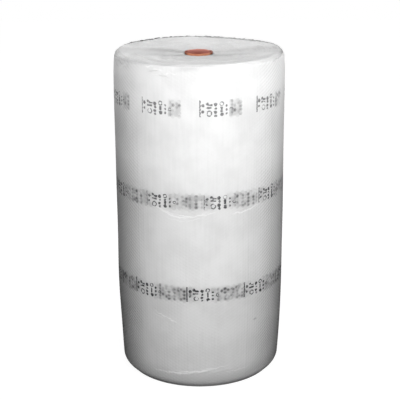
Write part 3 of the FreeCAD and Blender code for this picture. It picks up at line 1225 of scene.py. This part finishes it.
@dataclass
class OuterTurn:
    """The outermost turn of the film, from the floor over the wall to the shoulder.

    settle is how far the film lies inside the solid's surface. streaks are bearings of narrow
    upright ridges. A row of fine_rows is a rise near which the grid's rows lie closer together,
    how far on either side, and how much closer.
    """

    form: RollForm
    columns: int = 560
    rows: int = 168
    settle: float = 0.0009
    wave_height: float = 0.00022
    streak_height: float = 0.00035
    fine_rows: tuple = ((0.02, 0.03, 2.0), (0.065, 0.02, 2.5), (0.585, 0.03, 2.5))
    creases: tuple = (
        Crease((-37, -31, -27, -22, -18), (994, 988, 992, 984, 988), 3.2, 1.1),
        Crease((-33, -28, -24, -20), (978, 982, 974, 979), 3.0, 0.8),
        Crease((-13, -9, -5, 0, 4), (606, 592, 583, 582, 588), 3.0, 0.8),
        Crease((-9, -4, 1, 6, 12), (592, 577, 571, 578, 596), 3.0, 0.7),
        Crease((20, 28, 36, 42), (586, 583, 592, 606), 3.2, 0.7),
        Crease((-24, -15, -5, 4, 12), (62, 66, 64, 69, 78), 3.4, 1.1),
        Crease((5, 12, 19, 26), (60, 66, 70, 66), 3.0, 0.8),
        Crease((-24, -19, -14), (240, 231, 226), 3.0, 0.8),
        Crease((-66, -58, -52), (968, 985, 996), 4.5, -1.3),
        Crease((60, 66, 72), (996, 982, 966), 4.5, -1.2),
    )
    streaks: tuple = (-47.0, -43.5, -39.0, -34.5, -29.0, -21.0, -8.5, 3.0, 9.5, 24.0, 33.0, 47.0, 55.0)

    def swell(self, turn: np.ndarray, rise: np.ndarray) -> np.ndarray:
        """Soft unevenness of the wound film.

        It is a sum of slow waves of about half a millimetre, plus narrow upright ridges that fade
        in and out up the wall.

        Args:
            turn: Fraction of the turn.
            rise: Length up the wall.

        Returns:
            Distances along the outward normal.
        """
        chance = np.random.default_rng(7)
        swell = np.zeros(np.broadcast(turn, rise).shape)
        for _ in range(9):
            around, up = chance.integers(1, 7), chance.uniform(1.0, 8.0)
            phase = chance.uniform(0, 2 * math.pi, 2)
            wave = np.sin(2 * math.pi * around * turn + phase[0]) * np.sin(math.pi * up * rise + phase[1])
            swell += self.wave_height * wave
        bearing = self.form.bearing(turn)
        every = list(self.streaks) + list(chance.uniform(70, 290, 24))
        for streak in every:
            away = (bearing - streak + 180.0) % 360.0 - 180.0
            middle, half = chance.uniform(0.15, 0.85), chance.uniform(0.18, 0.45)
            fade = np.exp(-(((rise - middle) / half) ** 2))
            wander = 0.5 * np.sin(rise * chance.uniform(4, 9) + chance.uniform(0, 6))
            swell += self.streak_height * fade * np.exp(-(((away - wander) / 0.65) ** 2))
        return swell * smooth_step(rise, 0.0, 0.05)

    def folds(self, turn: np.ndarray, rise: np.ndarray) -> np.ndarray:
        """Height of all the creases: each is a rounded ridge that fades towards its ends.

        Args:
            turn: Fraction of the turn.
            rise: Length up the wall.

        Returns:
            Distances along the outward normal.
        """
        bearing = self.form.bearing(turn)
        total = np.zeros(np.broadcast(turn, rise).shape)
        for crease in self.creases:
            bearings, rises = np.array(crease.bearings, float), np.array(crease.rises) / 1000
            middle = np.interp(bearing, bearings, rises)
            off = (rise - middle) * 1000 / crease.width_mm
            along = (bearing - bearings[0]) / (bearings[-1] - bearings[0])
            window = smooth_step(along, 0.0, 0.25) * smooth_step(along, 1.0, 0.75)
            total += crease.height_mm / 1000 * np.exp(-(off**2)) * window
        return total

    def lift(self, turn: np.ndarray, rise: np.ndarray) -> np.ndarray:
        """How far the film stands from the solid's surface, outwards."""
        return self.swell(turn, rise) + self.folds(turn, rise) - self.settle

    def rises(self) -> np.ndarray:
        """Rises of the grid's rows, closer together at the foot, the creases and the shoulder.

        Returns:
            As many rises as there are rows.
        """
        length = self.form.wall_length()
        fine = np.linspace(0, length, 4000)
        density = np.full_like(fine, 1.0)
        for centre, half, weight in (*self.fine_rows, (length, 0.045, 3.0)):
            density += weight * np.exp(-(((fine - centre) / half) ** 2))
        share = np.cumsum(density)
        share = (share - share[0]) / (share[-1] - share[0])
        return np.interp(np.linspace(0, 1, self.rows), share, fine)

    def build(self, material: bpy.types.Material) -> bpy.types.Object:
        """Makes the turn as a grid of run by rise, whose last column closes the tail's step.

        Args:
            material: The film wall's finish.

        Returns:
            The object.
        """
        turn, rise = np.meshgrid(np.append(np.linspace(0, 1, self.columns), 0.0), self.rises())
        run = turn * 2 * math.pi * self.form.mean_radius
        run[:, -1] = run[:, -2] + self.form.turn_pitch
        run, turn, rise = run.ravel(), turn.ravel(), rise.ravel()
        points = self.form.wall_point(turn, rise, self.lift(turn, rise))
        uv = np.stack([run, rise], -1)
        return mesh_piece("film_wall", points, grid_faces(self.rows, self.columns + 1), material, uv)


@dataclass
class BubbleField:
    """The bubbles on the outermost turn, as low caps with a round weld, in three bands.

    popped is the share of burst bubbles, whose caps have the height flat_mm. The caps' rims are
    tucked under the film by tuck_mm.
    """

    form: RollForm
    turn: OuterTurn
    lattice: BubbleLattice
    height_mm: float = 0.22
    flat_mm: float = 0.22
    tuck_mm: float = 0.12
    popped: float = 0.025
    sides: int = 8

    def centres(self) -> tuple[np.ndarray, np.ndarray]:
        """Turn and rise of every bubble's centre, column by column.

        Returns:
            Two arrays, one number for each bubble.
        """
        rows = int(self.form.wall_length() * 1000 / self.lattice.pitch_mm) + 1
        column, row = np.meshgrid(np.arange(self.lattice.columns), np.arange(rows))
        rise = (row + 0.5 * (column % 2)) * self.lattice.pitch_mm / 1000
        turn = column / self.lattice.columns
        inside = (rise > 0.006) & (rise < self.form.wall_length() - 0.004) & (column > 0)
        return turn[inside], rise[inside]

    def build(self, material: bpy.types.Material) -> list[bpy.types.Object]:
        """Makes the caps.

        A cap's rim is a ring of points on the film, its height over the film falls from the
        middle as 1 minus the square of the distance, and every point is placed through the wall's
        own formula, so the caps follow the wall.

        Args:
            material: The film wall's finish.

        Returns:
            The three objects.
        """
        chance = np.random.default_rng(11)
        turn, rise = self.centres()
        count = len(turn)
        size = self.lattice.radius_mm / 1000 * chance.normal(1.0, 0.025, count)
        tall = self.height_mm / 1000 * np.clip(chance.normal(1.0, 0.22, count), 0.4, 1.6)
        flat = chance.random(count) < self.popped
        tall = np.where(flat, self.flat_mm / 1000, tall)
        around = np.arange(self.sides) * 2 * math.pi / self.sides
        rings = np.concatenate([np.full(self.sides, 1.0), np.full(self.sides, 0.62), [0.0]])
        spoke = np.concatenate([around, around + math.pi / self.sides, [0.0]])
        across = rings[None, :] * np.cos(spoke)[None, :] * size[:, None]
        up = rings[None, :] * np.sin(spoke)[None, :] * size[:, None]
        lean = chance.normal(0, 0.12, (count, 2))
        leaning = 1 + lean[:, :1] * across / size[:, None] + lean[:, 1:] * up / size[:, None]
        bulge = (1 - rings[None, :] ** 2) * leaning
        raised = tall[:, None] * bulge - self.tuck_mm / 1000 * (rings[None, :] == 1.0)
        all_turn = np.clip(turn[:, None] + across / (2 * math.pi * self.form.mean_radius), 0, 1)
        all_rise = np.clip(rise[:, None] + up, 0.0, self.form.wall_length())
        lift = self.turn.lift(all_turn.ravel(), all_rise.ravel()) + raised.ravel()
        points = self.form.wall_point(all_turn.ravel(), all_rise.ravel(), lift).reshape(count, -1, 3)
        run = all_turn * 2 * math.pi * self.form.mean_radius
        uv = np.stack([run, all_rise], -1)
        pieces = []
        edges = np.quantile(rise, [0, 1 / 3, 2 / 3, 1])
        edges[-1] += 1.0
        for number, (low, high) in enumerate(zip(edges, edges[1:]), start=1):
            chosen = (rise >= low) & (rise < high)
            places, film = points[chosen].reshape(-1, 3), uv[chosen].reshape(-1, 2)
            faces = self.cap_faces(int(chosen.sum()))
            pieces.append(mesh_piece(f"film_bubbles_{number}", places, faces, material, film))
        return pieces

    def cap_faces(self, count: int) -> np.ndarray:
        """Triangles of the caps: two between each pair of spokes, and one to the middle.

        Args:
            count: How many caps.

        Returns:
            One row of three vertex numbers for each triangle.
        """
        sides = self.sides
        here = np.arange(sides)
        after = (here + 1) % sides
        inner, next_inner, apex = here + sides, after + sides, np.full(sides, 2 * sides)
        one = np.concatenate(
            [
                np.stack([here, after, inner], -1),
                np.stack([after, next_inner, inner], -1),
                np.stack([inner, next_inner, apex], -1),
            ]
        )
        first = np.arange(count)[:, None, None] * (2 * sides + 1)
        return (first + one[None]).reshape(-1, 3)


@dataclass
class UpperEnd:
    """The roll's upper end: the film's cut edge standing in a spiral, with half bubbles on it.

    spacing is the length of web from point to point of the edge, depth how far the surface
    between the turns lies below the edges, and skirt how far the edge's strip reaches below that
    surface. inset is how far the web lies inside the solid's surface. The half bubbles' centres
    lie bubble_drop below the edge. The surface between the turns ends outer_gap inside the wall,
    where its rim is tucked down to outer_edge below the roll's top.
    """

    form: RollForm
    lattice: BubbleLattice
    spacing: float = 0.004
    thickness: float = 0.0007
    depth: float = 0.0009
    skirt: float = 0.0012
    inset: float = 0.0006
    bubble_height: float = 0.0039
    bubble_radius: float = 0.0046
    bubble_drop: float = 0.0042
    outer_gap: float = 0.0049
    outer_edge: float = 0.012
    columns: int = 361
    rows: int = 60

    def spiral(self, spacing: float) -> tuple[np.ndarray, np.ndarray, np.ndarray]:
        """Points evenly spaced along the wound web, inside its outermost turn.

        The radius at a wound angle is one pitch less for each whole turn inwards, so the length
        wound up to a radius grows as the radius squared over twice the pitch.

        Args:
            spacing: Length of web from point to point.

        Returns:
            Radius, fraction of a turn, and turns wound inwards from the outermost.
        """
        form = self.form
        lead = form.turn_pitch / (2 * math.pi)
        outer = float(form.wall_radius(0.0))
        inner = form.core_radius + 0.5 * form.turn_pitch
        total = (outer**2 - inner**2) / (2 * lead)
        wound = np.arange(0, total, spacing)
        radius = np.sqrt(outer**2 - 2 * lead * wound)
        turns_in = (outer - radius) / form.turn_pitch
        turn = (1.0 - turns_in % 1.0) % 1.0
        return radius - form.upper_draw_in - self.inset, turn, turns_in

    def wander(self, radius: np.ndarray, turns_in: np.ndarray) -> tuple[np.ndarray, np.ndarray]:
        """How a cut edge strays.

        It is a sum of waves along the web, sideways and in height, with a slower stray of each
        turn's own, so that some edges stand proud of their neighbours. The outer turns are more
        uneven, above all at the back.

        Args:
            radius: Radius of each point.
            turns_in: Turns wound inwards from the outermost to it.

        Returns:
            Offsets along the radius and in height.
        """
        along = turns_in * 2 * math.pi
        side = 0.00022 * np.sin(along * 23.1) + 0.00018 * np.sin(along * 37.7 + 1.3)
        side += 0.00035 * np.sin(along * 3.3 + 0.7)
        rim = smooth_step(radius, 0.205, 0.25)
        up = 0.00022 * np.sin(along * 29.3 + 0.4) + 0.00022 * np.sin(along * 11.9)
        up += (0.00035 + 0.00055 * rim) * np.sin(along * 1.618 + 2.0 * np.sin(turns_in * 1.9))
        back = rim * smooth_step(np.cos(along), -0.2, 0.5)
        up += 0.0008 * back * np.sin(along * 47.0 + 3.0 * np.sin(along * 5.1))
        up += 0.0008 * back * np.sin(along * 101.0 + 2.0 * np.sin(along * 9.3))
        return side, up

    def edge(self, material: bpy.types.Material) -> bpy.types.Object:
        """The standing edge: a narrow strip of inner face, top and outer face along the spiral.

        Args:
            material: The cut edge's finish.

        Returns:
            The object.
        """
        radius, turn, turns_in = self.spiral(self.spacing)
        side, up = self.wander(radius, turns_in)
        top = self.form.end_height(radius, turn) + up
        middle = radius + side
        half = self.thickness / 2
        low = top - self.depth - self.skirt
        rows = [(middle - half, low), (middle - half, top), (middle + half, top), (middle + half, low)]
        points = [turned_points(r, self.form.angle(turn), z) for r, z in rows]
        faces = grid_faces(len(rows), len(radius))
        return mesh_piece("film_cut_edge", np.concatenate(points), faces, material)

    def bubbles(self, material: bpy.types.Material) -> bpy.types.Object:
        """The bubbles behind the edge: upper halves of flattened domes on the web's inner face.

        A dome's points lie at (radius of the web less the dome's depth times the cosine of the
        slant, run and height by its sine), over half a circle.

        Args:
            material: The cut edge's finish.

        Returns:
            The object.
        """
        chance = np.random.default_rng(23)
        radius, turn, turns_in = self.spiral(self.lattice.column_mm / 1000)
        side, up = self.wander(radius, turns_in)
        count = len(radius)
        stagger = np.where(np.arange(count) % 2 == 0, 0.0003, 0.0022)
        centre = self.form.end_height(radius, turn) + up - self.bubble_drop - stagger
        centre = centre - chance.uniform(0, 0.0009, count)
        slants = np.radians([90.0, 52.0])
        fan = np.radians([0.0, 45.0, 90.0, 135.0, 180.0])
        slant, spread = (values.ravel() for values in np.meshgrid(slants, fan, indexing="ij"))
        slant, spread = np.append(slant, 0.0), np.append(spread, 0.0)
        bulge = self.bubble_height * np.cos(slant)
        across = self.bubble_radius * np.sin(slant) * np.cos(spread)
        tall = self.bubble_radius * np.sin(slant) * np.sin(spread)
        size = chance.uniform(0.88, 1.06, count)[:, None]
        r = (radius + side)[:, None] - self.thickness / 2 - bulge[None] * size
        angle = self.form.angle(turn)[:, None] - across[None] * size / np.maximum(r, 0.03)
        points = turned_points(r, angle, centre[:, None] + tall[None] * size).reshape(-1, 3)
        low, high = np.arange(4), np.arange(5, 9)
        one = np.concatenate(
            [
                np.stack([low, low + 1, high], -1),
                np.stack([low + 1, high + 1, high], -1),
                np.stack([high, high + 1, np.full(4, 10)], -1),
            ]
        )
        faces = (np.arange(count)[:, None, None] * 11 + one[None]).reshape(-1, 3)
        return mesh_piece("film_edge_bubbles", points, faces, material)

    def floor(self, material: bpy.types.Material) -> bpy.types.Object:
        """The depth between the turns: a ring from the tube to the wall, below the edges.

        Args:
            material: The depth's finish.

        Returns:
            The object.
        """
        turn, share = grid(np.linspace(0, 1, self.columns), np.linspace(0, 1, self.rows))
        outer = self.form.wall_radius(turn) - self.form.upper_draw_in - self.outer_gap
        radius = self.form.core_radius + (outer - self.form.core_radius) * share
        height = self.form.end_height(radius, turn) - self.depth
        height = np.where(share == 1.0, self.form.height - self.outer_edge, height)
        points = turned_points(radius, self.form.angle(turn), height)
        faces = grid_faces(self.rows, self.columns)[:, ::-1]
        return mesh_piece("film_end_depth", points, faces, material)

    def build(self, edge: bpy.types.Material, depth: bpy.types.Material) -> list[bpy.types.Object]:
        """Makes the end's three pieces."""
        return [self.edge(edge), self.bubbles(edge), self.floor(depth)]


@dataclass
class LowerEnd:
    """The end that the roll stands on: a flat ring with the turns pressed against the floor.

    Its turns stand off the floor by lift, the grooves between them are groove deeper, and the
    ring ends inset inside the wall's foot.
    """

    form: RollForm
    lift: float = 0.0004
    groove: float = 0.0009
    inset: float = 0.0006
    columns: int = 241
    rows: int = 140

    def build(self, material: bpy.types.Material) -> bpy.types.Object:
        """Makes a ring just above the floor, from the tube to the wall's foot.

        Args:
            material: The depth's finish.

        Returns:
            The object.
        """
        turn, share = grid(np.linspace(0, 1, self.columns), np.linspace(0, 1, self.rows))
        inset, _ = self.form.profile()
        outer = self.form.wall_radius(turn) - inset[0] - self.inset
        radius = self.form.core_radius + (outer - self.form.core_radius) * share
        wound = (radius - self.form.turn_pitch * turn) / self.form.turn_pitch
        grooves = np.abs(np.sin(math.pi * wound)) * smooth_step(1.0 - share, 0.0, 0.02)
        points = turned_points(radius, self.form.angle(turn), self.lift + self.groove * grooves)
        return mesh_piece("film_lower_end", points, grid_faces(self.rows, self.columns), material)


@dataclass
class CoreTube:
    """The cardboard tube, with worn, slightly rounded ends and the seam of its outer ply."""

    inner: float = 0.038
    outer: float = 0.042
    top: float = 0.994
    around: int = 144
    curve: float = 0.0008
    seam_depth: float = 0.00022

    def build(self, material: bpy.types.Material) -> bpy.types.Object:
        """Makes the tube as a profile of outer wall, rounded end, inner wall and lower end, turned.

        The ends' edges are arcs of the radius curve, the rim strays by a third of a millimetre,
        and the seam is a shallow groove where the height in plies plus the turn is a whole number.

        Args:
            material: The board's finish.

        Returns:
            The object.
        """
        curve = self.curve
        quarter = np.linspace(0, math.pi / 2, 5)
        arcs = []
        for radius, height, start in (
            (self.outer - curve, self.top - curve, 0.0),
            (self.inner + curve, self.top - curve, math.pi / 2),
            (self.inner + curve, curve, math.pi),
            (self.outer - curve, curve, 1.5 * math.pi),
        ):
            turned = quarter + start
            arcs.append(np.stack([radius + curve * np.cos(turned), height + curve * np.sin(turned)], -1))
        walls = np.linspace(self.top - 0.03, 0.03, 34)
        inside = np.stack([np.full_like(walls, self.inner), walls], -1)
        outside = np.stack([np.full_like(walls, self.outer), walls[::-1]], -1)
        profile = np.concatenate([arcs[0], arcs[1], inside, arcs[2], arcs[3], outside])
        here = np.arange(self.around)
        angle, step = grid(here * 2 * math.pi / self.around, np.arange(len(profile)))
        radius, height = profile[step, 0], profile[step, 1]
        worn = 0.00028 * np.sin(5 * angle + 0.6) + 0.00022 * np.sin(11 * angle + 2.1)
        worn = worn + 0.00015 * np.sin(23 * angle)
        height = height + (worn - 0.0005) * smooth_step(height, self.top - 0.004, self.top)
        plies = height / (PLY_WIDTH_MM / 1000) + angle / (2 * math.pi)
        seam = np.exp(-((((plies + 0.5) % 1.0 - 0.5) / 0.012) ** 2))
        into_board = np.where(radius > 0.0402, -1.0, 1.0)
        points = turned_points(radius + into_board * self.seam_depth * seam, angle, height)
        faces = grid_faces(len(profile), self.around, closed=True)
        wrap = len(profile) - 1
        after = (here + 1) % self.around
        last = np.stack([wrap * self.around + here, wrap * self.around + after, after, here], -1)
        return mesh_piece("board_tube", points, np.concatenate([faces, last]), material)


@dataclass(frozen=True)
class Lamp:
    """One area lamp: where it stands, its size in metres, its power in watts and what it faces."""

    name: str
    place: tuple
    size: float
    power: float
    target: tuple = (0.0, 0.0, 0.7)


@dataclass
class Studio:
    """Plain white studio: floor, world, soft lamps and the camera.

    focal_px is the focal length in pixels of the 400 pixel frame. pitch, yaw and roll are the
    camera's downward tilt and its two small turns, in radians.
    """

    lamps: tuple = (
        Lamp("top", (0.0, -0.05, 2.6), 1.0, 21.5),
        Lamp("front_right", (0.4635, -1.4266, 0.9), 0.6, 13.1),
        Lamp("front_left", (-0.75, -1.3, 1.35), 0.6, 2.0),
        Lamp("front", (0.0, -1.4, 1.2), 0.6, 0.8),
        Lamp("low_middle", (-0.1463, -1.3923, 0.35), 0.6, 5.8),
        Lamp("side_right", (0.7878, -0.1389, 1.2), 0.3, 0.36),
        Lamp("side_left", (-0.7878, -0.1389, 1.2), 0.3, 0.5),
        Lamp("back_left", (-0.866, 0.5, 1.7), 0.5, 0.5),
        Lamp("back", (0.0, 2.0, 1.0), 0.9, 9.0, (0.0, 0.0, 0.6)),
    )
    ambient: float = 0.02
    focal_px: float = 1136.7
    pitch: float = 0.3100
    place: tuple = (0.0, -3.3694, 1.6070)
    yaw: float = -0.00052
    roll: float = -0.0053
    frame_px: int = 400
    sensor_mm: float = 36.0

    def light(self) -> None:
        """Sets up the lamps."""
        for lamp in self.lamps:
            data = bpy.data.lights.new(lamp.name, "AREA")
            data.size, data.energy = lamp.size, lamp.power
            item = bpy.data.objects.new(lamp.name, data)
            item.location = lamp.place
            looking = Vector(lamp.target) - Vector(lamp.place)
            item.rotation_euler = looking.to_track_quat("-Z", "Y").to_euler()
            item.visible_camera = False
            bpy.context.scene.collection.objects.link(item)

    def seen(self, graph: Graph) -> bpy.types.NodeSocket:
        """1 for rays from the camera, from gloss and through clear material, else 0.

        Args:
            graph: The graph of the floor or the world.

        Returns:
            The mask's socket.
        """
        path = graph.node("ShaderNodeLightPath")
        plain = graph.math("MAXIMUM", path.outputs["Is Camera Ray"], path.outputs["Is Transmission Ray"])
        return graph.math("MAXIMUM", plain, path.outputs["Is Glossy Ray"])

    def surround(self) -> None:
        """The world: white where it is seen, dim where it lights the roll."""
        world = bpy.data.worlds.new("white_studio")
        bpy.context.scene.world = world
        graph = empty_graph(world)
        out = graph.node("ShaderNodeOutputWorld")
        white, dim = graph.node("ShaderNodeBackground"), graph.node("ShaderNodeBackground")
        for node, strength in ((white, 1.0), (dim, self.ambient)):
            node.inputs["Strength"].default_value = strength
            node.inputs["Color"].default_value = grey(1.0)
        mixed = graph.node("ShaderNodeMixShader")
        for index, value in enumerate((self.seen(graph), dim.outputs[0], white.outputs[0])):
            graph.put(mixed.inputs[index], value)
        graph.put(out.inputs["Surface"], mixed.outputs[0])

    def floor(self) -> bpy.types.Object:
        """The floor: white to the camera with the roll's faint shadow, darker for bounced light.

        Returns:
            The floor's object.
        """
        material = bpy.data.materials.new("pale_floor")
        graph = empty_graph(material)
        out = graph.node("ShaderNodeOutputMaterial")
        glow, pale = graph.node("ShaderNodeEmission"), graph.node("ShaderNodeBsdfDiffuse")
        away = graph.vector("LENGTH", graph.node("ShaderNodeTexCoord").outputs["Object"])
        far = graph.ease(away, 0.4, 1.6)
        graph.put(glow.inputs["Color"], graph.blend(far, grey(0.95), grey(1.0)))
        glow.inputs["Strength"].default_value = 1.0
        pale.inputs["Color"].default_value = grey(0.16)
        added = graph.node("ShaderNodeAddShader")
        graph.put(added.inputs[0], glow.outputs[0])
        graph.put(added.inputs[1], pale.outputs[0])
        mixed = graph.node("ShaderNodeMixShader")
        for index, value in enumerate((self.seen(graph), pale.outputs[0], added.outputs[0])):
            graph.put(mixed.inputs[index], value)
        graph.put(out.inputs["Surface"], mixed.outputs[0])
        span = np.linspace(-7.0, 7.0, 29)
        x, y = grid(span, span)
        points = np.stack([x, y, np.full(x.size, -0.0006)], -1)
        floor = mesh_piece("studio_floor", points, grid_faces(len(span), len(span)), material)
        return floor

    def camera(self) -> None:
        """The camera at the photograph's place and angle."""
        data = bpy.data.cameras.new("camera")
        data.sensor_width = self.sensor_mm
        data.lens = self.focal_px / self.frame_px * self.sensor_mm
        data.clip_end = 100.0
        item = bpy.data.objects.new("camera", data)
        turned = Matrix.Rotation(self.yaw, 3, "Z") @ Matrix.Rotation(math.pi / 2 - self.pitch, 3, "X")
        item.rotation_euler = (turned @ Matrix.Rotation(self.roll, 3, "Z")).to_euler()
        item.location = self.place
        bpy.context.scene.collection.objects.link(item)
        bpy.context.scene.camera = item

    def build(self) -> None:
        """Makes the whole studio."""
        self.camera()
        self.light()
        self.surround()
        self.floor()
        bpy.context.scene.view_settings.view_transform = "Standard"


def attach(pieces: list[bpy.types.Object], node: str) -> None:
    """Makes pieces stand for a node of the frame and move with it.

    Args:
        pieces: The pieces.
        node: The node that they stand for.
    """
    for piece in pieces:
        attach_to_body(piece, BODY)
        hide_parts(node)
        piece.data.calc_loop_triangles()
        LOG.info("%s: %d triangles", piece.name, len(piece.data.loop_triangles))


def main() -> None:
    """Builds the roll over the frame, then the studio round it."""
    logging.basicConfig(level=logging.INFO, format="%(message)s")
    for item in list(bpy.data.objects):
        bpy.data.objects.remove(item)
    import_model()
    form, lattice, film = RollForm(), BubbleLattice(), FilmFinish()
    wall_finish = film.wall_material(lattice.make_group(), film.band.make_group())
    edge_finish, shaded_depth_finish = (film.end_material(kind) for kind in (Surface.CUT_EDGE, Surface.DEPTH))
    outer_turn = OuterTurn(form)
    pieces = [outer_turn.build(wall_finish)]
    pieces += BubbleField(form, outer_turn, lattice).build(wall_finish)
    pieces += UpperEnd(form, lattice).build(edge_finish, shaded_depth_finish)
    pieces.append(LowerEnd(form).build(shaded_depth_finish))
    attach(pieces, "bubble_film_roll")
    attach([CoreTube().build(BoardFinish().make())], "core_tube")
    Studio().build()


if __name__ == "__main__":
    main()
